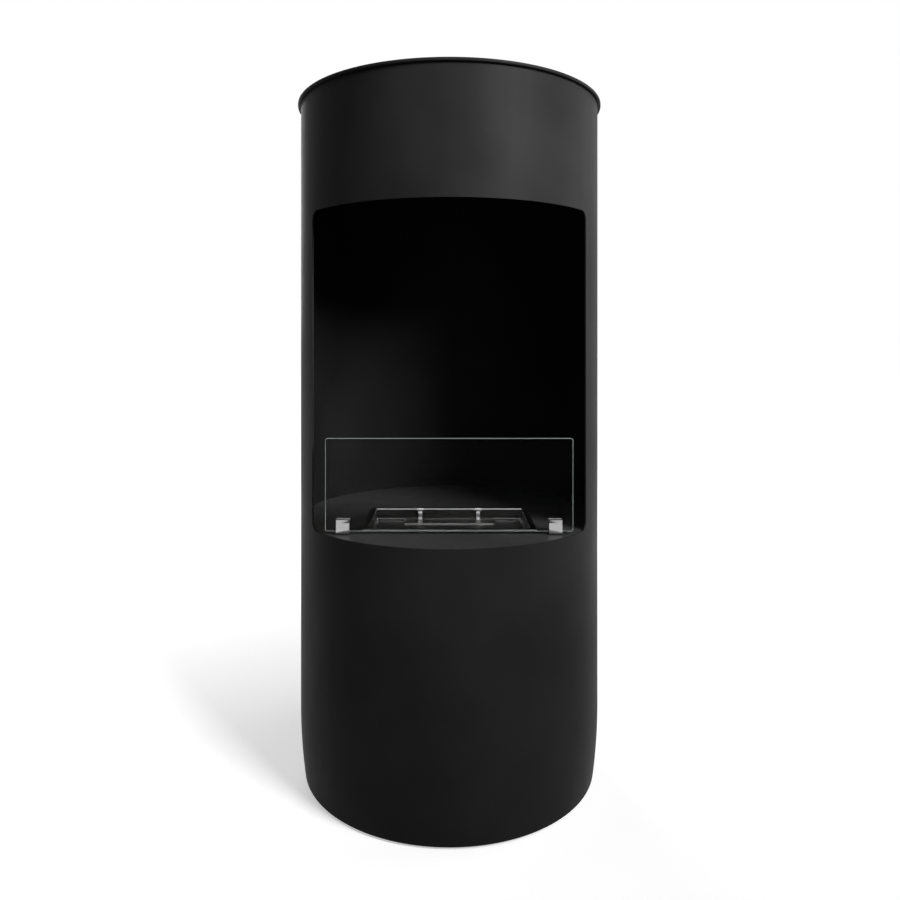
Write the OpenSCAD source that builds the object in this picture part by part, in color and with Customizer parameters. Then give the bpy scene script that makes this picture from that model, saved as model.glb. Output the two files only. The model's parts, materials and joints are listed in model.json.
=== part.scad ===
// Free-standing round ethanol fireplace: a rolled steel tube with a wide front window, a closed
// top disc, a shelf that carries a lift-out burner with a hinged flame lid, and a low glass guard.
// Millimetres. The front faces -Y, Z points up and Z = 0 is the floor under the rubber feet.

/* [Tube] */
// Outside diameter of the tube
tube_d = 400; // [340:5:460]
// Height of the tube from edge to edge
tube_h = 880; // [760:10:1060]
// Thickness of the tube's sheet
tube_wall = 2; // [1.5:0.5:3]
// How far the lower edge is drawn in, on the radius
draw_in = 6; // [2:1:10]
// Height over which the lower edge is drawn in
draw_h = 90; // [60:5:130]

/* [Window] */
// Height of the window's sill above the tube's lower edge
sill_h = 336; // [280:4:400]
// Height of the window
window_h = 393; // [320:1:400]
// Angle that the window takes of the tube's circle, in degrees
window_angle = 115.4; // [90:0.2:130]
// Radius of the window's corners
window_r = 12; // [6:1:24]

/* [Top] */
// Thickness of the top disc
top_t = 4; // [3:0.5:6]
// How far the top disc stands out past the tube
top_overhang = 4; // [2:0.5:10]
// Drop from the top disc to the heat shield
shield_drop = 32; // [24:1:40]
// Gap between the heat shield's rim and the tube
shield_margin = 22; // [16:1:40]

/* [Shelf] */
// Thickness of the shelf, the base plate and the brackets
plate_t = 2; // [1.5:0.5:3]
// Distance of the burner's middle in front of the tube's axis
burner_front = 46; // [36:1:50]

/* [Burner] */
// Inside width of the burner's well
well_w = 200; // [160:2:220]
// Inside depth of the burner's well, front to back
well_d = 118; // [98:2:126]
// Drop from the shelf to the burner's slotted plate
well_drop = 14.5; // [12:0.5:18]
// Height of the burner's tank under the shelf
tank_h = 86; // [60:2:110]
// Sheet thickness of the burner
burner_t = 1.5; // [1:0.1:2]
// Width of the burner's rim, from the well's inner face outwards
rim_w = 8; // [6:0.5:9]

/* [Flame lid] */
// Width of the flame lid
flame_w = 124; // [100:2:140]
// Depth of the flame lid, from its hinge to its front edge
flame_l = 66; // [58:1:76]
// Distance between the middles of the lid's two hinge straps
strap_pitch = 80; // [60:2:84]
// Width of a hinge strap
strap_w = 5.5; // [4:0.5:8]
// Radius of a hinge pin
pin_r = 1.5; // [1.2:0.1:1.8]

/* [Glass guard] */
// Width of the pane
glass_w = 299; // [220:1:300]
// Height of the pane
glass_h = 112; // [80:2:160]
// Thickness of the pane
glass_t = 4; // [3:0.5:6]
// Distance of the pane's middle plane in front of the tube's axis
glass_front = 128; // [124:0.5:132]
// Distance between the middles of the two clips
clip_pitch = 256; // [200:2:260]
// Width of a clip
clip_w = 16; // [12:1:20]
// Height of a clip
clip_h = 18; // [14:1:24]

/* [Base] */
// Gap between the floor and the tube's lower edge
floor_gap = 3; // [2:0.5:6]
// How far the base plate lies above the tube's lower edge
base_recess = 5; // [4:0.5:10]
// Diameter of a foot pad
foot_d = 40; // [30:2:50]
// Radius of the circle that the foot pads stand on
foot_circle = 150; // [130:2:160]

/* [Fasteners] */
// Radius of the studs and bolts
bolt_r = 2.5; // [2:0.1:3]
// Height of the nuts and bolt heads
nut_h = 4; // [3:0.2:5]
// Width of an L-bracket
bracket_w = 20; // [16:1:30]
// Length of both legs of an L-bracket
bracket_leg = 26; // [22:1:34]
// Number of L-brackets in each ring
bracket_count = 4; // [3:1:6]

/* [Hidden] */
$fn = 96;

// Clearances: a welded or bolted joint, a seat that lifts, a shaft in its bore, a bolt in its hole
weld_gap = 0.1;
seat_gap = 0.2;
run_gap = 0.05;
hole_gap = 0.4;
slide_gap = 0.4;
cut = 1;

// Heights of the tube, its window and the plates that lie in it
tube_r = tube_d / 2;
edge_z = floor_gap;
rim_z = edge_z + tube_h;
sill_z = edge_z + sill_h;
shelf_z = sill_z;
base_z = edge_z + base_recess;
top_z = rim_z + weld_gap;

// The drawn-in stretch is an arc that leaves the straight tube without a bend
draw_arc = (draw_h * draw_h + draw_in * draw_in) / (2 * draw_in);
draw_steps = 9;
function drawn_r(h) = h >= draw_h ? tube_r
    : tube_r - draw_arc + sqrt(draw_arc * draw_arc - (draw_h - h) * (draw_h - h));
function wall_points(inset) =
    concat([for (i = [0 : draw_steps])
               let (h = draw_h * i / draw_steps)
               [drawn_r(h) - inset, edge_z + h]],
           [[tube_r - inset, rim_z]]);

// The window's corners, as an angle of the tube's circle
corner_angle = window_r / tube_r * 180 / PI;
corner_steps = 6;

// Hexagons, brackets and studs
nut_r = bolt_r * 1.85;
bolt_head_h = 3;
bolt_hole_r = bolt_r + hole_gap;
thread_out = 3;
top_turn = 45;
shelf_turn = -90;
base_turn = 45;
stud_circle = tube_r - tube_wall - bracket_leg / 2 - plate_t;
base_circle = stud_circle - draw_in;
stud_l = plate_t + nut_h + thread_out;

// Burner: the tank hangs through the shelf by its rim
well_back = -burner_front + well_d / 2;
well_front = -burner_front - well_d / 2;
rim_under_z = shelf_z + seat_gap;
rim_top_z = rim_under_z + burner_t;
well_z = shelf_z - well_drop;
tank_z = shelf_z - tank_h;
cutout_gap = 1.5;
slot_margin = 8;
wool_drop = 8;

// Flame lid: a rim that lies on the slotted plate, a raised cap over the slot and a lip to lift it by
flame_t = 1.5;
flame_z = well_z + seat_gap;
knuckle_r = pin_r + 1.3;
hinge_y = well_back - knuckle_r - 0.7;
hinge_z = rim_top_z - 0.5;
strap_t = 2;
foot_l = 9;
rivet_front = 5.5;
rivet_r = 1;
rivet_head_r = 1.9;
rivet_head_h = 0.8;
flame_back = hinge_y;
flame_front = flame_back - flame_l;
cap_step = 3;
cap_room = 33;
cap_inset = 2;
cap_back = flame_back - cap_room;
lip_h = cap_step + flame_t;
lip_room = 3;
ear_t = 1.5;
ear_gap = 0.3;

// Heat shield
shield_t = 1.5;
shield_z = rim_z - shield_drop;
shield_r = tube_r - tube_wall - shield_margin;
rod_circle = shield_r - 26;
sleeve_wall = 1.5;

// Glass guard
clip_t = 2;
pad_t = 1.2;
glass_gap = 0.3;
glass_z = shelf_z + weld_gap + clip_t + pad_t + weld_gap + seat_gap;
clip_depth = glass_t + 2 * (glass_gap + pad_t + weld_gap + clip_t);
clip_screw_r = 1.5;
clip_head_r = 3;
clip_head_h = 2.4;
pad_drop = 0.5;

// Feet
foot_screw_r = 2;
foot_head_r = 4.5;
foot_head_h = 2.5;
foot_head_z = 1.4;

// ---- shared shapes ----

// Copies the children around the tube's axis, the first one turned from the right-hand side
module bracket_ring(turn) {
    for (i = [0 : bracket_count - 1]) {
        rotate([0, 0, turn + i * 360 / bracket_count]) children();
    }
}

// The room inside the tube, less a gap all round
module tube_room(gap) {
    rotate_extrude($fn = 180)
        polygon(concat([[0, edge_z]], wall_points(tube_wall + gap), [[0, rim_z]]));
}

// A plain hole or rod along Z, given by its middle radius and its two ends
module post(r, z0, z1) {
    translate([0, 0, z0]) cylinder(r = r, h = z1 - z0, $fn = 32);
}

// A nut lying on its face at z, with its bore a running fit on a bolt
module nut_at(z) {
    difference() {
        translate([0, 0, z]) cylinder(r = nut_r, h = nut_h, $fn = 6);
        post(bolt_r + run_gap, z - cut, z + nut_h + cut);
    }
}

// An L-bracket with its flat leg up against z and its other leg down the tube's wall
module bracket_under(z) {
    wall_r = tube_r - tube_wall;
    intersection() {
        difference() {
            union() {
                translate([wall_r - bracket_leg, -bracket_w / 2, z - plate_t])
                    cube([bracket_leg, bracket_w, plate_t]);
                translate([wall_r - plate_t, -bracket_w / 2, z - bracket_leg])
                    cube([plate_t, bracket_w, bracket_leg]);
            }
            translate([stud_circle, 0, 0]) post(bolt_hole_r, z - plate_t - cut, z + cut);
        }
        round_plate(wall_r - weld_gap, z - bracket_leg - cut, z + cut);
    }
}

// A wide round plate or space about the tube's axis
module round_plate(r, z0, z1) {
    translate([0, 0, z0]) cylinder(r = r, h = z1 - z0, $fn = 180);
}

// A box between two corners
module block(x0, x1, y0, y1, z0, z1) {
    translate([x0, y0, z0]) cube([x1 - x0, y1 - y0, z1 - z0]);
}

// ---- tube ----

// A corner of the window's outline as the front sees it, with its arc laid on the tube's outside
function window_corner(side, top) =
    [for (i = [0 : corner_steps])
        let (t = 90 * (side * top > 0 ? i : corner_steps - i) / corner_steps)
        [tube_r * sin(side * (window_angle / 2 - corner_angle * (1 - cos(t)))),
         top > 0 ? sill_z + window_h - window_r * (1 - sin(t)) : sill_z + window_r * (1 - sin(t))]];

// The window: its outline cut straight through the front half of the wall
module window_cut() {
    rotate([90, 0, 0])
        linear_extrude(height = tube_r + cut)
            polygon(concat(window_corner(1, -1), window_corner(1, 1),
                           window_corner(-1, 1), window_corner(-1, -1)));
}

module tube_shell() {
    outer = wall_points(0);
    inner = wall_points(tube_wall);
    color([0.07, 0.07, 0.075])
        difference() {
            rotate_extrude($fn = 180)
                polygon(concat(outer, [for (i = [len(inner) - 1 : -1 : 0]) inner[i]]));
            window_cut();
        }
}

// ---- top ----

module top_disc() {
    r = tube_r + top_overhang;
    ease = 0.6;
    color([0.08, 0.08, 0.085])
        translate([0, 0, top_z])
            rotate_extrude($fn = 180)
                polygon([[0, 0], [r - ease, 0], [r, ease], [r, top_t - ease], [r - ease, top_t], [0, top_t]]);
}

module top_studs() {
    color("silver")
        bracket_ring(top_turn)
            translate([stud_circle, 0, 0]) post(bolt_r, top_z - stud_l, top_z - weld_gap);
}

module top_brackets() {
    color([0.15, 0.15, 0.15]) bracket_ring(top_turn) bracket_under(top_z - weld_gap);
}

module top_nuts() {
    color("silver")
        bracket_ring(top_turn)
            translate([stud_circle, 0, 0]) nut_at(top_z - 2 * weld_gap - plate_t - nut_h);
}

// Copies the children around the circle of the shield's three hanging rods
module rod_ring() {
    for (i = [0 : 2]) {
        rotate([0, 0, 90 + 120 * i]) translate([rod_circle, 0, 0]) children();
    }
}

module heat_shield() {
    color([0.35, 0.35, 0.36])
        difference() {
            round_plate(shield_r, shield_z, shield_z + shield_t);
            rod_ring() post(bolt_hole_r, shield_z - cut, shield_z + shield_t + cut);
        }
}

module shield_rods() {
    color("silver")
        rod_ring() post(bolt_r, shield_z - nut_h - thread_out, top_z - weld_gap);
}

module shield_sleeves() {
    color("gray")
        rod_ring()
            difference() {
                post(bolt_hole_r + sleeve_wall, shield_z + shield_t + weld_gap, top_z - weld_gap);
                post(bolt_hole_r, shield_z, top_z + cut);
            }
}

module shield_nuts() {
    color("silver") rod_ring() nut_at(shield_z - weld_gap - nut_h);
}

// ---- shelf ----

// Copies the children at the two glass clips
module clip_pair() {
    for (side = [-1, 1]) {
        translate([side * clip_pitch / 2, -glass_front, 0]) children();
    }
}

module shelf() {
    side = well_w / 2 + burner_t + cutout_gap;
    back = well_back + burner_t + cutout_gap;
    front = well_front - burner_t - cutout_gap;
    color([0.2, 0.2, 0.21])
        difference() {
            round_plate(tube_r - tube_wall - slide_gap, shelf_z - plate_t, shelf_z);
            block(-side, side, front, back, shelf_z - plate_t - cut, shelf_z + cut);
            clip_pair() post(clip_screw_r + hole_gap, shelf_z - plate_t - cut, shelf_z + cut);
        }
}

module shelf_studs() {
    z = shelf_z - plate_t;
    color("silver")
        bracket_ring(shelf_turn)
            translate([stud_circle, 0, 0]) post(bolt_r, z - stud_l, z - weld_gap);
}

module shelf_brackets() {
    color([0.15, 0.15, 0.15]) bracket_ring(shelf_turn) bracket_under(shelf_z - plate_t - weld_gap);
}

module shelf_nuts() {
    z = shelf_z - 2 * plate_t - 2 * weld_gap - nut_h;
    color("silver") bracket_ring(shelf_turn) translate([stud_circle, 0, 0]) nut_at(z);
}

// ---- burner ----

module burner_tank() {
    w = well_w / 2;
    color([0.75, 0.75, 0.76])
        difference() {
            union() {
                block(-w - rim_w, w + rim_w, well_front - rim_w, well_back + rim_w,
                      rim_under_z, rim_top_z);
                block(-w - burner_t, w + burner_t, well_front - burner_t, well_back + burner_t,
                      tank_z, rim_under_z + burner_t / 2);
            }
            block(-w, w, well_front, well_back, tank_z + burner_t, rim_top_z + cut);
        }
}

// Edges of the slot in the burner's plate, a margin inside the flame lid's rim
slot_x = flame_w / 2 - slot_margin;
slot_front = flame_front + slot_margin;
slot_back = cap_back - cap_inset;

module burner_plate() {
    w = well_w / 2 - weld_gap;
    z0 = well_z - burner_t;
    color([0.7, 0.7, 0.72])
        difference() {
            block(-w, w, well_front + weld_gap, well_back - weld_gap, z0, well_z);
            block(-slot_x, slot_x, slot_front, slot_back, z0 - cut, well_z + cut);
        }
}

module ceramic_wool() {
    gap = 0.5;
    w = well_w / 2 - gap;
    color("ivory")
        block(-w, w, well_front + gap, well_back - gap, tank_z + burner_t + weld_gap,
              well_z - burner_t - wool_drop);
}

// Copies the children at the two hinge straps, with the pin's axis along X
module hinge_pair() {
    for (side = [-1, 1]) {
        translate([side * strap_pitch / 2, hinge_y, hinge_z]) children();
    }
}

// A disc or rod about the hinge axis, centred on x
module hinge_round(r, width) {
    rotate([0, 90, 0]) cylinder(r = r, h = width, center = true, $fn = 48);
}

module hinge_ears() {
    reach = well_back - weld_gap - hinge_y;
    offset_x = strap_w / 2 + ear_gap + ear_t / 2;
    color([0.7, 0.7, 0.72])
        hinge_pair()
            for (side = [-1, 1]) {
                translate([side * offset_x, 0, 0])
                    difference() {
                        union() {
                            hinge_round(knuckle_r, ear_t);
                            translate([-ear_t / 2, 0, -knuckle_r]) cube([ear_t, reach, 2 * knuckle_r]);
                        }
                        hinge_round(pin_r + 0.02, ear_t + 2 * cut);
                    }
            }
}

module hinge_pins() {
    color("silver") hinge_pair() hinge_round(pin_r, strap_w + 2 * (ear_gap + ear_t) + 1);
}

module flame_lid() {
    w = flame_w / 2;
    cap_w = w - cap_inset;
    cap_front = flame_front + flame_t + lip_room;
    top = flame_z + flame_t + cap_step;
    color([0.72, 0.72, 0.74])
        difference() {
            union() {
                block(-w, w, flame_front, flame_back, flame_z, flame_z + flame_t);
                block(-cap_w, cap_w, cap_front, cap_back, flame_z, top);
                block(-w, w, flame_front, flame_front + flame_t, flame_z, flame_z + lip_h);
            }
            block(-cap_w + flame_t, cap_w - flame_t, cap_front + flame_t, cap_back - flame_t,
                  flame_z - cut, top - flame_t);
        }
}

module lid_straps() {
    foot_z = flame_z + flame_t + weld_gap - hinge_z;
    color([0.75, 0.75, 0.77])
        hinge_pair()
            difference() {
                union() {
                    hinge_round(knuckle_r, strap_w);
                    translate([-strap_w / 2, -strap_t / 2, foot_z]) cube([strap_w, strap_t, -foot_z]);
                    translate([-strap_w / 2, -foot_l, foot_z]) cube([strap_w, foot_l, flame_t]);
                }
                hinge_round(pin_r + run_gap, strap_w + 2 * cut);
                translate([0, -rivet_front, 0]) post(rivet_r + run_gap, foot_z - cut, foot_z + flame_t + cut);
            }
}

module lid_rivets() {
    foot_z = flame_z + flame_t + weld_gap - hinge_z;
    over_z = foot_z + flame_t + weld_gap;
    color("silver")
        hinge_pair()
            translate([0, -rivet_front, 0]) {
                post(rivet_r, foot_z - weld_gap / 2, over_z + rivet_head_h / 2);
                post(rivet_head_r, over_z, over_z + rivet_head_h);
            }
}

// ---- glass guard ----

module glass_pane() {
    color([0.8, 0.85, 0.85, 0.35])
        block(-glass_w / 2, glass_w / 2, -glass_front - glass_t / 2, -glass_front + glass_t / 2,
              glass_z, glass_z + glass_h);
}

// One clip: a channel bent from strip, its slot along X
module clip(side) {
    z0 = shelf_z + weld_gap;
    d = clip_depth / 2;
    color([0.7, 0.7, 0.72])
        translate([side * clip_pitch / 2, -glass_front, 0])
            difference() {
                block(-clip_w / 2, clip_w / 2, -d, d, z0, z0 + clip_h);
                block(-clip_w / 2 - cut, clip_w / 2 + cut, -d + clip_t, d - clip_t,
                      z0 + clip_t, z0 + clip_h + cut);
                post(clip_screw_r + run_gap, z0 - cut, z0 + clip_t + cut);
            }
}

module clip_left() { clip(-1); }

module clip_right() { clip(1); }

module clip_pads() {
    z0 = shelf_z + 2 * weld_gap + clip_t;
    d = clip_depth / 2 - clip_t - weld_gap;
    color([0.1, 0.1, 0.1])
        clip_pair()
            difference() {
                block(-clip_w / 2, clip_w / 2, -d, d, z0, shelf_z + clip_h - pad_drop);
                block(-clip_w / 2 - cut, clip_w / 2 + cut, -d + pad_t, d - pad_t,
                      z0 + pad_t, shelf_z + clip_h);
            }
}

module clip_screws() {
    under = shelf_z - plate_t - weld_gap;
    color("silver")
        clip_pair() {
            post(clip_screw_r, under - clip_head_h / 2, shelf_z + clip_t);
            translate([0, 0, under - clip_head_h]) cylinder(r = clip_head_r, h = clip_head_h, $fn = 6);
        }
}

// ---- base ----

module foot_ring() {
    for (i = [0 : 3]) {
        rotate([0, 0, 90 * i]) translate([foot_circle, 0, 0]) children();
    }
}

module base_plate() {
    color([0.15, 0.15, 0.15])
        difference() {
            round_plate(drawn_r(base_recess) - tube_wall - slide_gap, base_z, base_z + plate_t);
            bracket_ring(base_turn)
                translate([base_circle, 0, 0]) post(bolt_hole_r, base_z - cut, base_z + plate_t + cut);
            foot_ring() post(foot_screw_r + run_gap, base_z - cut, base_z + plate_t + cut);
        }
}

module base_brackets() {
    z0 = base_z + plate_t + weld_gap;
    wall_r = tube_r - tube_wall;
    color([0.15, 0.15, 0.15])
        bracket_ring(base_turn)
            intersection() {
                difference() {
                    union() {
                        translate([wall_r - draw_in - bracket_leg, -bracket_w / 2, z0])
                            cube([bracket_leg + draw_in, bracket_w, plate_t]);
                        translate([wall_r - draw_in - plate_t, -bracket_w / 2, z0])
                            cube([plate_t + draw_in, bracket_w, bracket_leg]);
                    }
                    translate([base_circle, 0, 0]) post(bolt_hole_r, z0 - cut, z0 + plate_t + cut);
                }
                tube_room(weld_gap);
            }
}

module base_bolts() {
    color("silver")
        bracket_ring(base_turn)
            translate([base_circle, 0, 0]) {
                post(bolt_r, base_z - weld_gap - bolt_head_h / 2, base_z + 2 * plate_t + nut_h + thread_out);
                translate([0, 0, base_z - weld_gap - bolt_head_h])
                    cylinder(r = nut_r, h = bolt_head_h, $fn = 6);
            }
}

module base_nuts() {
    color("silver")
        bracket_ring(base_turn)
            translate([base_circle, 0, 0]) nut_at(base_z + 2 * plate_t + 2 * weld_gap);
}

module foot_pads() {
    color([0.05, 0.05, 0.05])
        foot_ring()
            difference() {
                round_plate(foot_d / 2, 0, base_z - weld_gap);
                post(foot_screw_r + run_gap, -cut, base_z + cut);
                post(foot_head_r + hole_gap, -cut, foot_head_z + foot_head_h + weld_gap);
            }
}

module foot_screws() {
    color("silver")
        foot_ring() {
            post(foot_screw_r, foot_head_z + foot_head_h / 2, base_z + plate_t + cut);
            post(foot_head_r, foot_head_z, foot_head_z + foot_head_h);
        }
}

tube_shell();
top_disc();
top_studs();
top_brackets();
top_nuts();
heat_shield();
shield_rods();
shield_sleeves();
shield_nuts();
shelf();
shelf_studs();
shelf_brackets();
shelf_nuts();
burner_tank();
burner_plate();
ceramic_wool();
hinge_ears();
hinge_pins();
flame_lid();
lid_straps();
lid_rivets();
glass_pane();
clip_left();
clip_right();
clip_pads();
clip_screws();
base_plate();
base_brackets();
base_bolts();
base_nuts();
foot_pads();
foot_screws();
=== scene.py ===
"""A round free-standing ethanol fireplace: lacquered tube with a window, closed top disc, shelf, lift-out
steel burner with a hinged flame lid, and a low glass guard in two spring clips. Metres, front to -Y."""
import json
import math

import bmesh
import bpy
import numpy as np
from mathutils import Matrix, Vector


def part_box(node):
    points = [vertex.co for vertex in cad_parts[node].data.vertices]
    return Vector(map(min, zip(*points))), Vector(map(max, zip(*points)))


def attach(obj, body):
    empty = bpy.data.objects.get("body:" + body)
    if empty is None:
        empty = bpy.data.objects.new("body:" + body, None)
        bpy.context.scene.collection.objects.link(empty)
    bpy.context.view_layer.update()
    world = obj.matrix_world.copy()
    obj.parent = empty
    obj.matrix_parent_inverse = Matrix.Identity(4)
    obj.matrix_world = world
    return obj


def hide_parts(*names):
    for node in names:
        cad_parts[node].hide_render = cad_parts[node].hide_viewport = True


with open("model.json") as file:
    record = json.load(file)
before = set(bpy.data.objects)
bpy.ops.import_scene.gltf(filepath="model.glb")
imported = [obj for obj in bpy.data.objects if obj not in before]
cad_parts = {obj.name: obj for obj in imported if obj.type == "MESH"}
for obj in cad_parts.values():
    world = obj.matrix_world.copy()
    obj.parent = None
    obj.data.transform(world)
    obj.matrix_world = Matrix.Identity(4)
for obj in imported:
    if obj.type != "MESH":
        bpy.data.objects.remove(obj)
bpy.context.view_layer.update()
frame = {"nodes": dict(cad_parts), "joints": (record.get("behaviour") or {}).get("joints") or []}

MM = 0.001


# ---------------------------------------------------------------- meshes

def new_piece(name, verts, faces, materials, face_material=None, crease_deg=40):
    """A mesh object from vertices and arrays of faces, one array for each count of corners.
    It is smooth except where two faces meet at more than crease_deg."""
    mesh = bpy.data.meshes.new(name)
    mesh.from_pydata(np.asarray(verts, float).tolist(), [], sum((f.tolist() for f in faces), []))
    for m in materials:
        mesh.materials.append(m)
    if face_material is not None:
        mesh.polygons.foreach_set("material_index", np.asarray(face_material, np.int32))
    mesh.validate()
    mesh.update()
    obj = bpy.data.objects.new(name, mesh)
    bpy.context.scene.collection.objects.link(obj)
    mesh.shade_smooth()
    mesh.set_sharp_from_angle(angle=math.radians(crease_deg))
    return obj


def even_shading(obj):
    """Shades wide flat faces flat and leaves the turn to the narrow eased ones beside them."""
    mod = obj.modifiers.new("even_shading", "WEIGHTED_NORMAL")
    mod.mode = "FACE_AREA"
    mod.weight = 80
    mod.keep_sharp = True
    return obj


def grid_faces(rows, cols, wrap_rows=False, wrap_cols=False):
    """Quads of a rows x cols grid of vertices, closed on itself where asked."""
    r = np.arange(rows if wrap_rows else rows - 1)
    c = np.arange(cols if wrap_cols else cols - 1)
    rr, cc = np.meshgrid(r, c, indexing="ij")
    nr, nc = (rr + 1) % rows, (cc + 1) % cols
    quads = np.stack([rr * cols + cc, rr * cols + nc, nr * cols + nc, nr * cols + cc], -1)
    return quads.reshape(-1, 4)


def joined(parts):
    """Several shapes, each of vertices and arrays of faces, as one."""
    starts = np.cumsum([0] + [len(v) for v, _ in parts])
    faces = [array + start for (_, arrays), start in zip(parts, starts) for array in arrays]
    return np.vstack([v for v, _ in parts]), faces


def grown(box, out):
    """A rectangle (x0, x1, y0, y1) with each side moved outwards, or inwards where out is negative."""
    x0, x1, y0, y1 = box
    return x0 - out, x1 + out, y0 - out, y1 + out


def outline(x0, x1, y0, y1, radius, steps=6, straight=4):
    """A rounded rectangle run anticlockwise: each corner is a quarter arc, each side a few even steps."""
    centres = [(x1 - radius, y0 + radius), (x1 - radius, y1 - radius),
               (x0 + radius, y1 - radius), (x0 + radius, y0 + radius)]
    arcs = []
    for k, (cx, cy) in enumerate(centres):
        t = np.radians(90 * (k - 1) + np.linspace(0, 90, steps + 1))
        arcs.append(np.stack([cx + radius * np.cos(t), cy + radius * np.sin(t)], -1))
    w = np.linspace(0, 1, straight + 1)[1:-1, None]
    points = []
    for arc, after in zip(arcs, arcs[1:] + arcs[:1]):
        points.extend([arc, arc[-1] * (1 - w) + after[0] * w])
    return np.vstack(points)


def rings(levels, closed=False):
    """A skin through outlines of equal length, each an (n, 3) array, in their order. Where it is closed
    the last joins the first, as in a frame of sheet metal."""
    n = len(levels[0])
    return np.vstack(levels), [grid_faces(len(levels), n, wrap_rows=closed, wrap_cols=True)]


def closed_ends(verts, faces, n):
    """Adds the first and the last outline of n points as end faces."""
    first = np.arange(n)[None, ::-1]
    last = np.arange(len(verts) - n, len(verts))[None]
    return verts, faces + [first, last]


def at(points, z):
    """Plane points lifted to a height."""
    return np.column_stack([points, np.full(len(points), z)])


def lathe(profile, steps=180):
    """A profile of (radius, height) points spun about Z; end points on the axis are closed as poles."""
    profile = np.asarray(profile, float)
    t = np.linspace(0, 2 * np.pi, steps, endpoint=False)
    inner = profile[1:-1]
    verts = np.stack([np.outer(inner[:, 0], np.cos(t)), np.outer(inner[:, 0], np.sin(t)),
                      np.repeat(inner[:, 1:2], steps, 1)], -1).reshape(-1, 3)
    quads = grid_faces(len(inner), steps, wrap_cols=True)
    first, last = len(verts), len(verts) + 1
    verts = np.vstack([verts, [[0, 0, profile[0, 1]], [0, 0, profile[-1, 1]]]])
    i = np.arange(steps)
    j = (i + 1) % steps
    base = (len(inner) - 1) * steps
    low = np.stack([np.full(steps, first), j, i], -1)
    high = np.stack([np.full(steps, last), base + i, base + j], -1)
    return verts, [quads, low, high]


def rounded(corners, radius, steps=5):
    """An open line of plane points with each inner corner replaced by an arc of that radius.
    The arc starts and ends at radius x tan(half the turn) from the corner."""
    p = np.asarray(corners, float)
    out = [p[0]]
    for a, b, c in zip(p[:-2], p[1:-1], p[2:]):
        u, v = (a - b) / np.linalg.norm(a - b), (c - b) / np.linalg.norm(c - b)
        half = math.acos(np.clip(u @ v, -1, 1)) / 2
        reach = radius / math.tan(half)
        centre = b + (u + v) / np.linalg.norm(u + v) * radius / math.sin(half)
        s, e = b + u * reach - centre, b + v * reach - centre
        total = math.atan2(s[0] * e[1] - s[1] * e[0], s @ e)
        t = np.linspace(0, total, steps + 1)
        cos, sin = np.cos(t), np.sin(t)
        out.extend(centre + np.stack([s[0] * cos - s[1] * sin, s[0] * sin + s[1] * cos], -1))
    out.append(p[-1])
    return np.array(out)


def strip(line, thickness, x0, x1, edge=0.25 * MM):
    """Flat strip bent along a line in the YZ plane and as wide as x0 to x1, its four long edges eased.
    At each point of the line the section is an eased rectangle across the line's normal and X."""
    line = np.asarray(line, float)
    d = np.gradient(line, axis=0)
    d /= np.linalg.norm(d, axis=1)[:, None]
    normal = np.stack([-d[:, 1], d[:, 0]], -1)
    h = thickness / 2
    section = outline(x0, x1, -h, h, edge, steps=3, straight=2)
    n = len(section)
    across = section[None, :, 1:2] * normal[:, None, :]
    yz = line[:, None, :] + across
    x = np.repeat(section[None, :, 0:1], len(line), 0)
    verts = np.concatenate([x, yz], -1).reshape(-1, 3)
    return closed_ends(verts, [grid_faces(len(line), n, wrap_cols=True)], n)


def slab(x0, x1, y0, y1, z0, z1, radius, edge):
    """A plate with rounded corners and eased edges: outlines drawn in by a quarter arc at top and bottom."""
    t = np.radians(np.linspace(0, 90, 4))
    inwards = edge * (1 - np.sin(t))
    up = edge * (1 - np.cos(t))
    steps = list(zip(inwards, z0 + up)) + list(zip(inwards[::-1], z1 - up[::-1]))
    levels = [at(outline(*grown((x0, x1, y0, y1), -o), radius), z) for o, z in steps]
    verts, faces = rings(levels)
    return closed_ends(verts, faces, len(levels[0]))


def merged_outwards(obj, dist, sheet=False):
    """Merges doubles that lie closer than dist and turns the faces outwards; a sheet's look away from Z."""
    bm = bmesh.new()
    bm.from_mesh(obj.data)
    bmesh.ops.remove_doubles(bm, verts=bm.verts, dist=dist)
    bmesh.ops.recalc_face_normals(bm, faces=bm.faces)
    if sheet:
        outermost = max(bm.faces, key=lambda f: f.calc_center_median().x)
        if outermost.normal.x < 0:
            bmesh.ops.reverse_faces(bm, faces=bm.faces)
    bm.to_mesh(obj.data)
    bm.free()


def outward(obj):
    """Makes a closed mesh whole: its doubles merged, its faces outwards and its shading even."""
    merged_outwards(obj, 1e-7)
    return even_shading(obj)


def finish_piece(obj, body, slot, *nodes):
    """Rides the piece on its body and hides the nodes that it stands for. The slot it is given is not used.
    """
    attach(obj, body)
    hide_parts(*nodes)
    return obj


# ---------------------------------------------------------------- material groups

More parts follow.
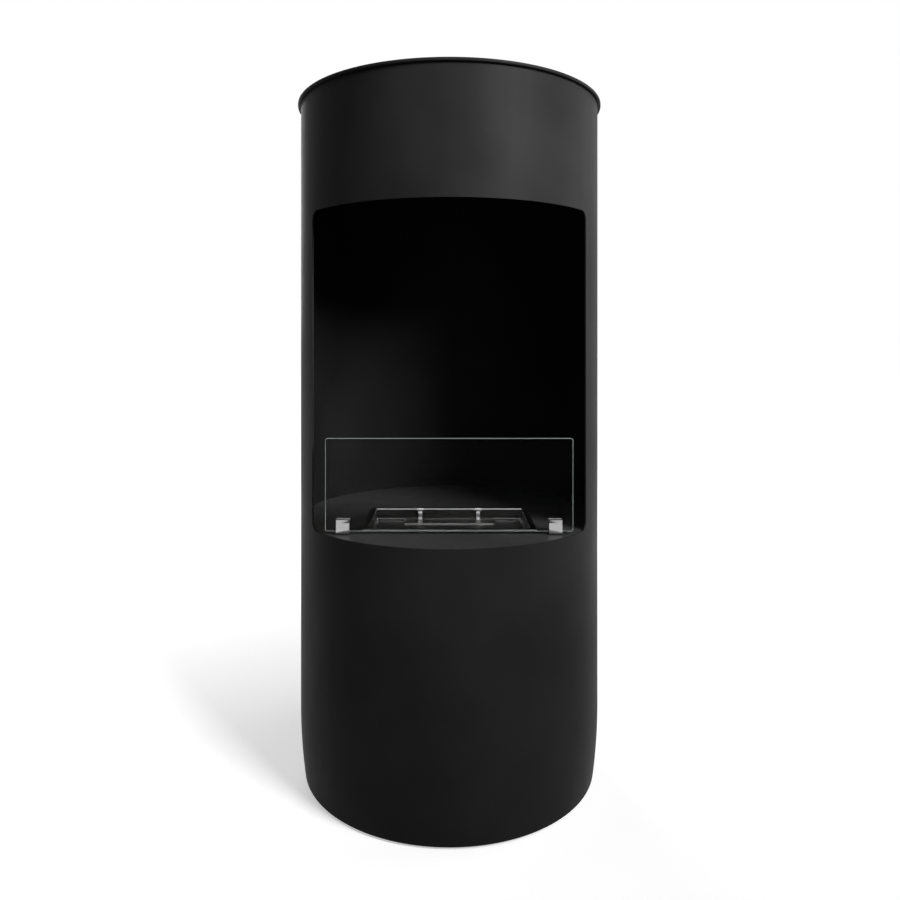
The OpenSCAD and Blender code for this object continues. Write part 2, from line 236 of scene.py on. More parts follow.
class Graph:
    """A short way to add and join shader nodes in one tree."""

    # The numbers of a mix node's sockets for colours: its factor, its two inputs and its result.
    MIX_FACTOR, MIX_A, MIX_B, MIX_RESULT = 0, 6, 7, 2

    def __init__(self, tree):
        self.tree = tree

    def feed(self, socket, value):
        """Links a socket to the one given, or sets the plain value given."""
        if isinstance(value, bpy.types.NodeSocket):
            self.tree.links.new(value, socket)
        else:
            socket.default_value = value

    def node(self, kind, values=None, **fields):
        n = self.tree.nodes.new(kind)
        for k, v in fields.items():
            setattr(n, k, v)
        for k, v in (values or {}).items():
            self.feed(n.inputs[k], v)
        return n

    def place(self):
        """Where the point lies on the object, in metres."""
        return self.node("ShaderNodeTexCoord").outputs["Object"]

    def math(self, operation, a, b=0.0, clamp=False):
        return self.node("ShaderNodeMath", {0: a, 1: b}, operation=operation, use_clamp=clamp).outputs[0]

    def vector(self, operation, a, b=(0.0, 0.0, 0.0)):
        n = self.node("ShaderNodeVectorMath", {0: a, 1: b}, operation=operation)
        return n.outputs["Value" if operation == "LENGTH" else "Vector"]

    def span(self, value, low, high, to_low, to_high):
        n = self.node("ShaderNodeMapRange", {"Value": value, "From Min": low, "From Max": high,
                                             "To Min": to_low, "To Max": to_high}, clamp=True)
        return n.outputs["Result"]

    def blend(self, factor, a, b, kind="MIX"):
        values = {self.MIX_FACTOR: factor, self.MIX_A: a, self.MIX_B: b}
        n = self.node("ShaderNodeMix", values, data_type="RGBA", blend_type=kind)
        return n.outputs[self.MIX_RESULT]

    def noise(self, vector, scale, detail=3.0, rough=0.5):
        n = self.node("ShaderNodeTexNoise", {"Vector": vector, "Scale": scale, "Detail": detail,
                                             "Roughness": rough})
        return n.outputs["Fac"]

    def stretched(self, vector, scale):
        return self.node("ShaderNodeMapping", {"Vector": vector, "Scale": scale}).outputs["Vector"]

    def bump(self, height, strength, distance):
        n = self.node("ShaderNodeBump", {"Height": height, "Strength": strength, "Distance": distance})
        return n.outputs["Normal"]


def group(name, inputs, outputs):
    """An empty shader node group with named float, colour and vector sockets."""
    tree = bpy.data.node_groups.new(name, "ShaderNodeTree")
    for side, sockets in (("INPUT", inputs), ("OUTPUT", outputs)):
        for label, kind in sockets:
            tree.interface.new_socket(name=label, in_out=side, socket_type="NodeSocket" + kind)
    g = Graph(tree)
    start, end = g.node("NodeGroupInput"), g.node("NodeGroupOutput")
    return g, start.outputs, end.inputs


def lacquer_group():
    """Sprayed lacquer: a fine orange-peel bump, slow patches in the gloss and a few dust specks."""
    g, i, o = group("sprayed_lacquer", [("Gloss low", "Float"), ("Gloss high", "Float"), ("Peel", "Float")],
                    [("Roughness", "Float"), ("Normal", "Vector"), ("Dust", "Float")])
    place = g.place()
    patches = g.noise(place, 5.0, 4.0, 0.55)
    wipes = g.noise(g.stretched(place, (14.0, 14.0, 2.5)), 3.0, 3.0, 0.6)
    mixed = g.math("ADD", g.math("MULTIPLY", patches, 0.6), g.math("MULTIPLY", wipes, 0.4))
    peel = g.math("MULTIPLY", g.noise(place, 420.0, 2.0, 0.4), i["Peel"])
    cells = g.node("ShaderNodeTexVoronoi", {"Vector": place, "Scale": 160.0}).outputs["Distance"]
    specks = g.span(cells, 0.02, 0.09, 1.0, 0.0)
    rare = g.span(g.noise(place, 31.0, 1.0), 0.60, 0.70, 0.0, 1.0)
    g.feed(o["Roughness"], g.span(mixed, 0.35, 0.65, i["Gloss low"], i["Gloss high"]))
    g.feed(o["Normal"], g.bump(peel, 0.07, 0.0006))
    g.feed(o["Dust"], g.math("MULTIPLY", specks, rare))
    return g.tree


def brushed_group():
    """Brushed stainless sheet: long fine scratches along X, with slow smears in the gloss."""
    g, i, o = group("brushed_sheet", [("Gloss low", "Float"), ("Gloss high", "Float"), ("Depth", "Float")],
                    [("Roughness", "Float"), ("Normal", "Vector"), ("Lines", "Float")])
    place = g.place()
    lines = g.noise(g.stretched(place, (12.0, 900.0, 900.0)), 1.0, 4.0, 0.7)
    smears = g.noise(place, 26.0, 3.0, 0.5)
    mixed = g.math("ADD", g.math("MULTIPLY", lines, 0.55), g.math("MULTIPLY", smears, 0.45))
    g.feed(o["Roughness"], g.span(mixed, 0.3, 0.7, i["Gloss low"], i["Gloss high"]))
    g.feed(o["Normal"], g.bump(g.math("MULTIPLY", lines, i["Depth"]), 0.25, 0.0002))
    g.feed(o["Lines"], lines)
    return g.tree


def heat_group():
    """Heat tint: steel turns straw, then bronze, then blue as it lies nearer to the flame's slot."""
    g, i, o = group("heat_tint", [("Steel", "Color"), ("Amount", "Float"), ("Reach", "Float")],
                    [("Color", "Color")])
    place = g.place()
    slot_mid = (0.0, (slot_front + slot_back) / 2, well_z)
    along_slot = (0.35, 1.0, 1.0)
    length = g.vector("LENGTH", g.vector("MULTIPLY", g.vector("SUBTRACT", place, slot_mid), along_slot))
    ripple = g.math("MULTIPLY", g.noise(place, 60.0, 2.0), 0.012)
    heat = g.math("SUBTRACT", 1.0, g.math("DIVIDE", g.math("ADD", length, ripple), i["Reach"]), clamp=True)
    ramp = g.node("ShaderNodeValToRGB", {"Fac": heat})
    stops = [(0.0, (1, 1, 1, 1)), (0.35, (1.0, 0.86, 0.62, 1)), (0.6, (0.80, 0.55, 0.40, 1)),
             (0.8, (0.42, 0.40, 0.58, 1)), (1.0, (0.45, 0.52, 0.66, 1))]
    while len(ramp.color_ramp.elements) < len(stops):
        ramp.color_ramp.elements.new(0.5)
    for element, (position, colour) in zip(ramp.color_ramp.elements, stops):
        element.position = position
        element.color = colour
    g.feed(o["Color"], g.blend(i["Amount"], i["Steel"], ramp.outputs["Color"], "MULTIPLY"))
    return g.tree


# ---------------------------------------------------------------- materials

def blank_material(name):
    """A material with an empty node tree."""
    m = bpy.data.materials.new(name)
    m.use_nodes = True
    m.node_tree.nodes.clear()
    return m, Graph(m.node_tree)


def shader(name, **constants):
    """A material with a Principled shader whose constants sit on its own sockets."""
    m, g = blank_material(name)
    p = g.node("ShaderNodeBsdfPrincipled")
    g.node("ShaderNodeOutputMaterial", {"Surface": p.outputs["BSDF"]})
    for k, v in constants.items():
        p.inputs[k.replace("_", " ")].default_value = v
    return m, g, p.inputs


def toned(shade, factor=1.0):
    """A colour made lighter or darker by a factor, with full alpha."""
    return tuple(min(1.0, c * factor) for c in shade) + (1.0,)


def lacquer(name, shade, gloss, peel, specular, dust=0.1):
    """Black stove lacquer. shade is its grey, gloss the lowest and highest roughness over the sheet."""
    m, g, p = shader(name, Specular_IOR_Level=specular)
    coat = g.node("ShaderNodeGroup", node_tree=GROUPS["lacquer"])
    coat.inputs["Gloss low"].default_value, coat.inputs["Gloss high"].default_value = gloss
    coat.inputs["Peel"].default_value = peel
    cloud = g.span(g.noise(g.place(), 7.0, 3.0), 0.35, 0.65, 0.0, 1.0)
    body = g.blend(cloud, toned(shade, 0.82), toned(shade, 1.18))
    speck = g.math("MULTIPLY", coat.outputs["Dust"], dust)
    g.feed(p["Base Color"], g.blend(speck, body, (0.25, 0.24, 0.22, 1.0)))
    g.feed(p["Roughness"], coat.outputs["Roughness"])
    g.feed(p["Normal"], coat.outputs["Normal"])
    return m


def steel(name, shade, gloss, depth=1.0, heat=0.0, reach=0.09):
    """Stainless or plated steel with brushed lines; heat tints it around the slot."""
    m, g, p = shader(name, Metallic=1.0)
    brush = g.node("ShaderNodeGroup", node_tree=GROUPS["brushed"])
    brush.inputs["Gloss low"].default_value, brush.inputs["Gloss high"].default_value = gloss
    brush.inputs["Depth"].default_value = depth
    colour = g.blend(brush.outputs["Lines"], toned(shade, 0.88), toned(shade, 1.08))
    if heat:
        tint = g.node("ShaderNodeGroup", node_tree=GROUPS["heat"])
        g.feed(tint.inputs["Steel"], colour)
        tint.inputs["Amount"].default_value = heat
        tint.inputs["Reach"].default_value = reach
        colour = tint.outputs["Color"]
    g.feed(p["Base Color"], colour)
    g.feed(p["Roughness"], brush.outputs["Roughness"])
    g.feed(p["Normal"], brush.outputs["Normal"])
    return m


def rubber(name, shade):
    """Moulded rubber: matt, with a fine pebble and paler scuffs."""
    m, g, p = shader(name, Specular_IOR_Level=0.3)
    place = g.place()
    scuff = g.span(g.noise(place, 90.0, 4.0, 0.6), 0.5, 0.75, 0.0, 1.0)
    g.feed(p["Base Color"], g.blend(scuff, toned(shade), toned(shade, 2.2)))
    g.feed(p["Roughness"], g.span(scuff, 0.0, 1.0, 0.62, 0.85))
    g.feed(p["Normal"], g.bump(g.noise(place, 900.0, 2.0), 0.3, 0.0003))
    return m


def wool(name):
    """Ceramic fibre: off-white, matt and matted, with scorched patches."""
    m, g, p = shader(name, Specular_IOR_Level=0.15, Sheen_Weight=0.3, Roughness=0.95)
    place = g.place()
    fibres = g.noise(g.stretched(place, (260.0, 900.0, 260.0)), 1.0, 5.0, 0.7)
    scorch = g.span(g.noise(place, 30.0, 4.0, 0.6), 0.42, 0.7, 0.0, 0.8)
    base = g.blend(fibres, (0.62, 0.58, 0.50, 1.0), (0.86, 0.83, 0.76, 1.0))
    g.feed(p["Base Color"], g.blend(scorch, base, (0.30, 0.24, 0.18, 1.0)))
    g.feed(p["Normal"], g.bump(fibres, 0.8, 0.001))
    return m


def clear_glass(name):
    """Clear toughened glass with the faintest wipe marks in its colour. Its reflection is held far down,
    or the white room would lie as a grey veil over what is behind it."""
    held_down = (0.015, 0.015, 0.015, 1.0)
    m, g, p = shader(name, Roughness=0.0, Transmission_Weight=1.0, IOR=1.45, Specular_Tint=held_down)
    wipes = g.noise(g.stretched(g.place(), (4.0, 4.0, 30.0)), 1.0, 3.0, 0.6)
    wiped = g.span(wipes, 0.35, 0.7, 0.0, 1.0)
    g.feed(p["Base Color"], g.blend(wiped, (0.98, 0.99, 0.985, 1.0), (0.93, 0.95, 0.94, 1.0)))
    return m


def ground_edge(name):
    """The pane's ground edge: fine grey-green frost that gathers light."""
    m, g, p = shader(name, Transmission_Weight=0.25, IOR=1.45)
    grit = g.noise(g.place(), 900.0, 3.0, 0.6)
    g.feed(p["Base Color"], g.blend(grit, (0.20, 0.23, 0.22, 1.0), (0.34, 0.38, 0.37, 1.0)))
    g.feed(p["Roughness"], g.span(grit, 0.3, 0.7, 0.28, 0.45))
    return m


# ---------------------------------------------------------------- places

# From the frame, except for what a box cannot tell: the sheets' thickness, the window and the draw-in.
lo = {n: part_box(n)[0] for n in frame["nodes"]}
hi = {n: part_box(n)[1] for n in frame["nodes"]}
hinge = next(j for j in frame["joints"] if j["name"] == "flame_lid_hinge")
hinge_y, hinge_z = hinge["pos_m"][1], hinge["pos_m"][2]

tube_r = hi["tube_shell"].x
wall = 2.0 * MM
edge_z, rim_z = lo["tube_shell"].z, hi["tube_shell"].z
shelf_z = hi["shelf"].z
window_h = 393 * MM
window_half = math.radians(57.7)
window_r = 12 * MM
draw_in, draw_h = 6 * MM, 90 * MM

well_x = hi["burner_plate"].x
well_front, well_back = lo["burner_plate"].y, hi["burner_plate"].y
well_z = hi["burner_plate"].z
lid_x = hi["flame_lid"].x
lid_front = lo["flame_lid"].y
lid_back = hi["flame_lid"].y
lid_z = lo["flame_lid"].z
cap_z = hi["flame_lid"].z
sheet_t = 1.5 * MM
slot_x = lid_x - 8 * MM
slot_front, slot_back = lid_front + 8 * MM, lid_back - 35 * MM

GROUPS = {"lacquer": lacquer_group(), "brushed": brushed_group(), "heat": heat_group()}
OUTER = lacquer("outer_lacquer", (0.0100, 0.0100, 0.0103), (0.42, 0.52), 1.0, 0.02)
# The inside is the same lacquer painted darker than the outside: painted shade in the tube's hollow.
INNER = lacquer("inner_lacquer_painted_shade", (0.007, 0.007, 0.007), (0.45, 0.58), 0.3, 0.02)
SHELF = lacquer("shelf_lacquer", (0.026, 0.026, 0.026), (0.30, 0.42), 0.7, 0.08)
PRIMER = lacquer("bracket_primer", (0.03, 0.03, 0.03), (0.55, 0.75), 1.5, 0.25)
# The burner's and lid's steel is painted near black: painted shade, the dark reflection of the firebox put
# into their colour.
BURNER = steel("burner_steel_painted_shade", (0.060, 0.060, 0.060), (0.26, 0.40), 0.15, 0.25, 0.07)
LID = steel("lid_steel_painted_shade", (0.075, 0.075, 0.075), (0.24, 0.38), 0.15, 0.3, 0.06)
# Bright steel: the finish of the hinge parts, and a painted highlight on the burner's and lid's rims, bands,
# lip and fold.
BRIGHT = steel("bright_steel_and_painted_highlight", (0.72, 0.72, 0.72), (0.16, 0.28), 0.15)
CLIP = steel("clip_stainless", (0.42, 0.42, 0.42), (0.12, 0.22), 0.15)
ZINC = steel("zinc_plate", (0.55, 0.56, 0.58), (0.28, 0.45), 0.6)
SHIELD = steel("shield_steel", (0.36, 0.36, 0.36), (0.35, 0.5), 1.0, 0.5, 0.7)
GLASS = clear_glass("pane_glass")
EDGE = ground_edge("pane_edge")
RUBBER = rubber("foot_rubber", (0.014, 0.014, 0.014))
PAD = rubber("pad_silicone", (0.018, 0.018, 0.018))
WOOL = wool("ceramic_fibre")


# ---------------------------------------------------------------- tube and top

def drawn_radius(z):
    """Radius of the tube's outside at a height: straight, then an arc that leaves it without a bend."""
    arc = (draw_h ** 2 + draw_in ** 2) / (2 * draw_in)
    drop = np.clip(draw_h - (z - edge_z), 0, draw_h)
    return tube_r - arc + np.sqrt(arc ** 2 - drop ** 2)


def spaced(low, high, radius, middle, corner=7):
    """Steps from low to high, close together within a corner's radius of either end."""
    a = np.linspace(low, low + radius, corner)
    b = np.linspace(low + radius, high - radius, middle)
    c = np.linspace(high - radius, high, corner)
    return np.concatenate([a, b[1:-1], c])


def frame_round(xs, zs):
    """The boundary of a rectangle, run anticlockwise through the given steps, as (x, z) points."""
    x = np.concatenate([xs[:-1], np.full(len(zs) - 1, xs[-1]), xs[:0:-1], np.full(len(zs) - 1, xs[0])])
    z = np.concatenate([np.full(len(xs) - 1, zs[0]), zs[:-1], np.full(len(xs) - 1, zs[-1]), zs[:0:-1]])
    return np.stack([x, z], -1)


def soften_corners(points, half_w, z0, z1, radius):
    """Moves a rectangle's points near a corner onto the corner's arc, and the corner to the arc's middle."""
    on_line = 1e-9
    p = points.copy()
    cx = np.clip(p[:, 0], -half_w + radius, half_w - radius)
    cz = np.clip(p[:, 1], z0 + radius, z1 - radius)
    dx, dz = p[:, 0] - cx, p[:, 1] - cz
    near = (np.abs(dx) > on_line) & (np.abs(dz) > on_line)
    turn = np.arctan2(np.abs(dz), np.abs(dx))
    p[near, 0] = cx[near] + np.sign(dx[near]) * radius * np.cos(turn[near])
    p[near, 1] = cz[near] + np.sign(dz[near]) * radius * np.sin(turn[near])
    return p


def tube_skin():
    """The tube's outside as a sheet over (arc length, height), wrapped round Z with x = r sin, y = -r cos.
    Rings of quads run from the window's outline out to a rectangle, and plain quads fill the rest."""
    half_w = window_half * tube_r
    z0, z1 = shelf_z, shelf_z + window_h
    margin = 14 * MM
    across, up, drawn, under, over, round_back = 60, 50, 16, 24, 16, 100
    ring_places = (0, 0.12, 0.35, 0.65, 1)

    xs = spaced(-half_w, half_w, window_r, across)
    zs = spaced(z0, z1, window_r, up)
    inner = frame_round(xs, zs)
    grow = np.array([(half_w + margin) / half_w, (window_h / 2 + margin) / (window_h / 2)])
    mid = np.array([0, (z0 + z1) / 2])
    outer = (inner - mid) * grow + mid
    inner = soften_corners(inner, half_w, z0, z1, window_r)
    parts = [rings([inner * (1 - t) + outer * t for t in ring_places])]

    gx, gz = xs * grow[0], (zs - mid[1]) * grow[1] + mid[1]
    below = np.concatenate([np.linspace(edge_z, edge_z + draw_h, drawn),
                            np.linspace(edge_z + draw_h, gz[0], under)[1:]])
    above = np.linspace(gz[-1], rim_z, over)
    whole = np.concatenate([below[:-1], gz, above[1:]])
    behind = np.linspace(gx[-1], 2 * np.pi * tube_r + gx[0], round_back)
    for columns, rows in ((gx, below), (gx, above), (behind, whole)):
        x, z = np.meshgrid(columns, rows)
        flat = np.stack([x.ravel(), z.ravel()], -1)
        parts.append((flat, [grid_faces(len(rows), len(columns))]))
    flat, faces = joined(parts)

    angle = flat[:, 0] / tube_r
    r = drawn_radius(flat[:, 1])
    verts = np.stack([r * np.sin(angle), -r * np.cos(angle), flat[:, 1]], -1)
    obj = new_piece("tube_skin", verts, faces, [OUTER, INNER], crease_deg=35)
    merged_outwards(obj, 1e-6, sheet=True)
    inside = obj.modifiers.new("wall", "SOLIDIFY")
    inside.thickness = wall
    inside.offset = -1
    inside.use_even_offset = True
    inside.material_offset = 1
    inside.material_offset_rim = 0
    ease = obj.modifiers.new("eased_edges", "BEVEL")
    ease.width = 0.35 * MM
    ease.segments = 2
    ease.limit_method = "ANGLE"
    ease.angle_limit = math.radians(50)
    ease.harden_normals = True
    return finish_piece(obj, "housing", "black_lacquer", "tube_shell")


def top_plate():
    """The closed top: a disc whose rim is a half-round edge, spun from its profile."""
    z0, z1 = lo["top_disc"].z, hi["top_disc"].z
    edge_r = 1.3 * MM
    flat_r = hi["top_disc"].x - edge_r
    steps = 6
    t = np.radians(np.linspace(-90, 0, steps))
    low = np.stack([flat_r + edge_r * np.cos(t), z0 + edge_r + edge_r * np.sin(t)], -1)
    high = np.column_stack([low[::-1, 0], z0 + z1 - low[::-1, 1]])
    flat = np.linspace(0.15, 1, steps) * flat_r
    under = np.column_stack([flat, np.full(steps, z0)])
    over = np.column_stack([flat[::-1], np.full(steps, z1)])
    profile = np.vstack([[[0, z0]], under, low[1:], high, over[1:], [[0, z1]]])
    verts, faces = lathe(profile, 240)
    obj = outward(new_piece("top_plate", verts, faces, [OUTER]))
    return finish_piece(obj, "housing", "black_lacquer", "top_disc")


# ---------------------------------------------------------------- burner

def burner_tray():
    """The burner's box: a sheet profile - rim, rolled edge, well wall - carried round the well's outline,
    with the tank's floor as a plate inside its foot. The narrow bands that catch light carry a painted
    highlight."""
    rim_z1 = hi["burner_tank"].z
    rim_z0 = rim_z1 - sheet_t
    tank_z = lo["burner_tank"].z
    reach = hi["burner_tank"].x - well_x
    roll, corner_r = 1.3 * MM, 1.2 * MM
    edge, fillet = 0.25 * MM, 0.5 * MM
    seam_low, seam_high = 1.6 * MM, 2.7 * MM
    turn = np.radians(np.linspace(90, 180, 5))
    rolled = np.stack([roll + roll * np.cos(turn), rim_z1 - roll + roll * np.sin(turn)], -1)
    profile = [(reach, rim_z0), (reach, rim_z1 - edge), (reach - edge, rim_z1), *rolled,
               (0, well_z + seam_high), (0, well_z + seam_low), (0, tank_z + sheet_t), (0, tank_z),
               (sheet_t, tank_z), (sheet_t, rim_z0 - fillet), (sheet_t + fillet, rim_z0)]
    # These rows are coloured bright steel as a painted highlight.
    highlight_rows = (1, 3, 4, 5, 6, 8)  # the rim's edge, the rolled edge and the seam over the plate
    well = (-well_x, well_x, well_front, well_back)
    levels = [at(outline(*grown(well, out), corner_r + out * 0.5), z) for out, z in profile]
    floor = slab(*well, tank_z, tank_z + sheet_t, corner_r, 0.2 * MM)
    verts, faces = joined([rings(levels, closed=True), floor])
    highlighted = np.isin(np.arange(len(levels)), highlight_rows)
    finish = np.concatenate([np.repeat(highlighted, len(levels[0])), np.zeros(sum(map(len, floor[1])), bool)])
    obj = outward(new_piece("burner_tray", verts, faces, [BURNER, BRIGHT], finish))
    return finish_piece(obj, "burner", "burner_steel", "burner_tank")


def slotted_plate():
    """The recessed plate: outlines lofted from its edge to the slot's rounded mouth, whose rim turns down.
    A band along its edge and the mouth's eased lip carry a painted highlight."""
    z1 = well_z
    z0 = z1 - sheet_t
    outer = (-well_x, well_x, well_front, well_back)
    mouth = (-slot_x, slot_x, slot_front, slot_back)
    outer_r, mouth_r = 1.0 * MM, 5.0 * MM
    band = 2.5 * MM
    ease = 0.6 * MM
    foot_z = z0 - 2.2 * MM
    fold = sheet_t * 0.6
    # These rows are coloured bright steel as a painted highlight.
    highlight_rows = (1, 3, 4)
    levels = [at(outline(*outer, outer_r), z0), at(outline(*outer, outer_r), z1),
              at(outline(*grown(outer, -band), outer_r), z1)]
    for out, z in ((ease, z1), (0.3 * ease, z1 - 0.3 * ease), (0, z1 - ease), (0, foot_z),
                   (fold, foot_z), (fold, z0)):
        levels.append(at(outline(*grown(mouth, out), mouth_r + out), z))
    verts, faces = rings(levels, closed=True)
    finish = np.repeat(np.isin(np.arange(len(levels)), highlight_rows), len(levels[0]))
    obj = outward(new_piece("slotted_plate", verts, faces, [BURNER, BRIGHT], finish))
    return finish_piece(obj, "burner", "burner_steel", "burner_plate")


def flame_cap():
    """The flame lid: a pressed sheet - flat rim, soft step, raised cap - lofted through rounded outlines,
    with a lip folded up along its front edge and a low upright fold at the back of the cap."""
    fold = 1.4 * MM
    step = cap_z - lid_z - sheet_t - fold
    rim = (-lid_x, lid_x, lid_front, lid_back)
    rim_r, cap_r = 0.8 * MM, 2.5 * MM
    side = 2 * MM
    cap = (-lid_x + side, lid_x - side, lid_front + 4.5 * MM, lid_back - 33 * MM)
    rise = [(0.0, 0.0), (0.15, 0.04), (0.35, 0.3), (0.55, 0.75), (0.8, 0.97), (1.4, 1.0)]

    def skin(base, drop):
        """One side of the sheet at a base height, its cap drawn in by drop."""
        out = [at(outline(*rim, rim_r), base)]
        for inwards, up in rise:
            box = grown(cap, -(inwards * MM + drop))
            out.append(at(outline(*box, cap_r), base + up * step))
        return out

    upper, lower = skin(lid_z + sheet_t, 0), skin(lid_z, 0.9 * MM)
    n = len(upper[0])
    sheet = closed_ends(*rings(lower[::-1] + upper), n)
    edge_row = len(lower) - 1
    step_row = len(lower) + 2
    rows = np.arange(len(lower) + len(upper) - 1)
    # The rim's edge and three rows of the step are coloured bright steel as a painted highlight.
    highlighted = np.isin(rows, (edge_row, step_row, step_row + 1, step_row + 2))

    lip_y, mid_z = lid_front + sheet_t / 2, lid_z + sheet_t / 2
    lip_line = rounded([(lip_y + 1.4 * MM, mid_z), (lip_y, mid_z), (lip_y, cap_z)], 0.7 * MM)
    lip = strip(lip_line, sheet_t * 0.98, -lid_x, lid_x)
    fold_y = cap[3] - 2.2 * MM
    fold_line = np.column_stack([np.full(4, fold_y), np.linspace(cap_z - fold - 0.4 * MM, cap_z, 4)])
    back_fold = strip(fold_line, 0.8 * MM, cap[0] + 1 * MM, cap[1] - 1 * MM, 0.15 * MM)

    verts, faces = joined([sheet, lip, back_fold])
    # The lip and the back fold are coloured bright steel all over, a painted highlight.
    bright = sum(map(len, lip[1])) + sum(map(len, back_fold[1]))
    finish = np.concatenate([np.repeat(highlighted, n), [0, 0], np.ones(bright)])
    obj = outward(new_piece("flame_cap", verts, faces, [LID, BRIGHT], finish))
    return finish_piece(obj, "flame_lid", "lid_steel", "flame_lid")


def hinge_straps():
    """Two straps bent from flat strip: a foot on the lid, a rise, and a curl round the hinge pin."""
    first, last = lo["lid_straps"], hi["lid_straps"]
    t = 1.5 * MM
    width = 5.5 * MM
    pin_bore = 1.55 * MM
    curl_r = pin_bore + t / 2
    curl = np.radians(np.linspace(-60, 250, 26))
    ring = np.stack([hinge_y + curl_r * np.cos(curl), hinge_z + curl_r * np.sin(curl)], -1)
    foot_z = first.z + t / 2
    rise_y = hinge_y - 0.2 * MM
    rise_top = ring[0, 1] - 2.0 * MM
    leg = rounded([(first.y, foot_z), (rise_y, foot_z), (rise_y, rise_top)], 1.6 * MM)
    line = np.vstack([leg, ring])
    middle = (first.x + last.x) / 2
    centres = [middle + side * (last.x - middle - width / 2) for side in (-1, 1)]
    verts, faces = joined([strip(line, t, x - width / 2, x + width / 2) for x in centres])
    obj = outward(new_piece("hinge_straps", verts, faces, [BRIGHT]))
    return finish_piece(obj, "flame_lid", "lid_steel", "lid_straps")


def wool_block():
    """The fibre block: a slab whose top is a grid lifted by two waves and a ripple of seeded noise."""
    (x0, y0, z0), (x1, y1, z1) = lo["ceramic_wool"], hi["ceramic_wool"]
    nx, ny = 160, 96
    x, y = np.meshgrid(np.linspace(x0, x1, nx), np.linspace(y0, y1, ny))
    fuzz = np.random.default_rng(7).random((ny, nx))
    shifts = ((1, 0), (1, 1), (-1, 0), (-1, 1))
    fuzz = sum((np.roll(fuzz, shift, axis) for shift, axis in shifts), start=fuzz) / 5
    waves = np.sin(x * 71) * np.cos(y * 93) + np.sin(x * 163 + y * 120)
    lift = waves * 0.8 * MM + (fuzz - 0.5) * 2.4 * MM
    edge = np.minimum.reduce([x - x0, x1 - x, y - y0, y1 - y])
    top = z1 - 2.6 * MM + lift * np.clip(edge / (6 * MM), 0, 1) - 3 * MM * np.exp(-edge / (2.5 * MM))
    top_v = np.stack([x.ravel(), y.ravel(), top.ravel()], -1)
    quads = grid_faces(ny, nx)
    rim = np.concatenate([np.arange(nx), np.arange(2 * nx - 1, nx * ny, nx),
                          np.arange(nx * ny - 2, nx * (ny - 1) - 1, -1), np.arange(nx * (ny - 2), 0, -nx)])
    foot = top_v[rim].copy()
    foot[:, 2] = z0
    low = len(top_v) + np.arange(len(rim))
    side = np.stack([np.roll(rim, -1), rim, low, np.roll(low, -1)], -1)
    faces = [quads, side, low[None, ::-1]]
    obj = outward(new_piece("wool_block", np.vstack([top_v, foot]), faces, [WOOL], crease_deg=60))
    return finish_piece(obj, "burner", "ceramic_wool", "ceramic_wool")


# ---------------------------------------------------------------- glass guard

def spring_clip(name, node):
    """A clip bent from stainless strip: front leg, floor and back leg, both tips flared from the glass."""
    y0, y1 = lo[node].y, hi[node].y
    z0, z1 = lo[node].z, hi[node].z
    t = 1.6 * MM
    front, back, floor_z = y0 + t / 2, y1 - t / 2, z0 + t / 2
    flare = 0.9 * MM
    flare_z, knee_z = z1 - 4 * MM, z0 + 7 * MM
    line = rounded([(front, z1), (front + flare, flare_z), (front, knee_z), (front, floor_z),
                    (back, floor_z), (back, knee_z), (back - flare, flare_z), (back, z1)], 1.3 * MM)
    verts, faces = strip(line, t, lo[node].x, hi[node].x, 0.35 * MM)
    verts[:, 1] = np.clip(verts[:, 1], y0, y1)
    verts[:, 2] = np.clip(verts[:, 2], z0, z1)
    obj = outward(new_piece(name, verts, faces, [CLIP]))
    return finish_piece(obj, "housing", "clip_steel", node)


def pane():
    """The glass: a slab of eased edges. Faces that look along Y are clear, the narrow ones are ground."""
    (x0, y0, z0), (x1, y1, z1) = lo["glass_pane"], hi["glass_pane"]
    verts, faces = slab(x0, x1, z0, z1, y0, y1, 2.5 * MM, 0.3 * MM)
    verts = verts[:, [0, 2, 1]]
    ground = [1] * len(faces[0]) + [0, 0]
    obj = outward(new_piece("pane", verts, faces, [GLASS, EDGE], ground))
    return finish_piece(obj, "glass", "clear_glass", "glass_pane")


# ---------------------------------------------------------------- carried-over nodes

def dress_nodes():
    """Gives each CAD node its finish, in every slot that it has."""
    finishes = {OUTER: ["tube_shell", "top_disc"], SHELF: ["shelf"],
                PRIMER: ["top_brackets", "shelf_brackets", "base_brackets", "base_plate"],
                SHIELD: ["heat_shield"], RUBBER: ["foot_pads"], PAD: ["clip_pads"], GLASS: ["glass_pane"],
                WOOL: ["ceramic_wool"], CLIP: ["clip_left", "clip_right"],
                BURNER: ["burner_tank", "burner_plate"], LID: ["flame_lid"],
                BRIGHT: ["hinge_ears", "hinge_pins", "lid_straps", "lid_rivets"],
                ZINC: ["top_studs", "top_nuts", "shield_rods", "shield_sleeves", "shield_nuts", "shelf_studs",
                       "shelf_nuts", "clip_screws", "base_bolts", "base_nuts", "foot_screws"]}
    for material, names in finishes.items():
        for n in names:
            slots = frame["nodes"][n].data.materials
            for k in range(len(slots)):
                slots[k] = material
            if not slots:
                slots.append(material)


# ---------------------------------------------------------------- stage, lights and camera

def seen_ray(g):
    """1 for camera, glossy and transmission rays, so that metal and glass show the white room too."""
    path = g.node("ShaderNodeLightPath").outputs
    return g.math("MAXIMUM", g.math("MAXIMUM", path["Is Camera Ray"], path["Is Glossy Ray"]),
                  path["Is Transmission Ray"])


def white_room(ambient):
    """World: white where it is seen, a plain soft level where it only lights."""
    world = bpy.data.worlds.new("white_room")
    bpy.context.scene.world = world
    world.use_nodes = True
    world.node_tree.nodes.clear()
    g = Graph(world.node_tree)
    strength = g.span(seen_ray(g), 0.0, 1.0, ambient, 1.0)
    back = g.node("ShaderNodeBackground", {"Color": (1, 1, 1, 1), "Strength": strength})
    g.node("ShaderNodeOutputWorld", {"Surface": back.outputs[0]})


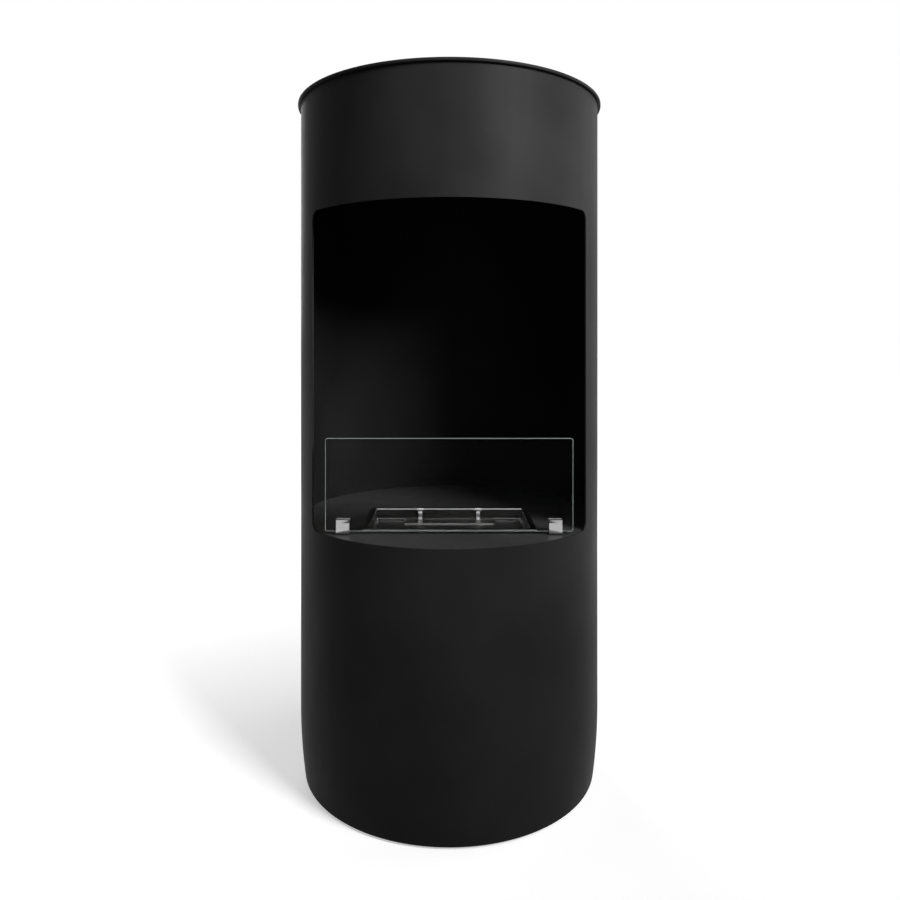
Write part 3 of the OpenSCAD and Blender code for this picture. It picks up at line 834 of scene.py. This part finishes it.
def pale_floor(near, far):
    """A wide floor: diffuse, so it takes the shadow, and lifted to white where it is seen, more far away."""
    s = 14.0
    verts = [(-s, -s, 0), (s, -s, 0), (s, s, 0), (-s, s, 0)]
    m, g = blank_material("pale_floor")
    away = g.vector("LENGTH", g.place())
    lift = g.math("MULTIPLY", g.span(away, 0.25, 1.3, near, far), seen_ray(g))
    diffuse = g.node("ShaderNodeBsdfDiffuse", {"Color": (0.75, 0.75, 0.75, 1)})
    glow = g.node("ShaderNodeEmission", {"Color": (1, 1, 1, 1), "Strength": lift})
    both = g.node("ShaderNodeAddShader", {0: diffuse.outputs[0], 1: glow.outputs[0]})
    g.node("ShaderNodeOutputMaterial", {"Surface": both.outputs[0]})
    new_piece("floor", verts, [np.arange(4)[None]], [m])


def softbox(name, place, aim, size, power, spread=180):
    """A square soft lamp at a place, turned to its aim; a narrower spread is a grid on its front."""
    lamp = bpy.data.lights.new(name, "AREA")
    lamp.size = size
    lamp.energy = power
    lamp.spread = math.radians(spread)
    obj = bpy.data.objects.new(name, lamp)
    bpy.context.scene.collection.objects.link(obj)
    obj.location = place
    obj.rotation_euler = (Vector(aim) - Vector(place)).to_track_quat("-Z", "Y").to_euler()


def camera():
    """A level camera in front of the window, its frame shifted down to hold the whole tube."""
    cam = bpy.data.cameras.new("camera")
    cam.sensor_width = 36.0
    cam.lens = 30.84
    cam.shift_y = -0.114
    obj = bpy.data.objects.new("camera", cam)
    bpy.context.scene.collection.objects.link(obj)
    obj.location = (0.001, -1.059, 0.5643)
    obj.rotation_euler = (math.radians(90), 0, 0)
    bpy.context.scene.camera = obj


camera()
tube_skin()
top_plate()
burner_tray()
slotted_plate()
flame_cap()
hinge_straps()
wool_block()
spring_clip("left_clip", "clip_left")
spring_clip("right_clip", "clip_right")
pane()
dress_nodes()

white_room(0.18)
pale_floor(0.46, 0.96)
softbox("key", (1.05, -1.15, 1.45), (0.0, -0.15, 0.86), 0.7, 13, 64)
softbox("side", (1.9, 0.45, 0.75), (0.0, 0.0, 0.5), 1.2, 14)
softbox("back", (-0.7, 1.9, 1.2), (0.0, 0.0, 0.5), 1.2, 18)

bpy.context.scene.view_settings.view_transform = "Standard"
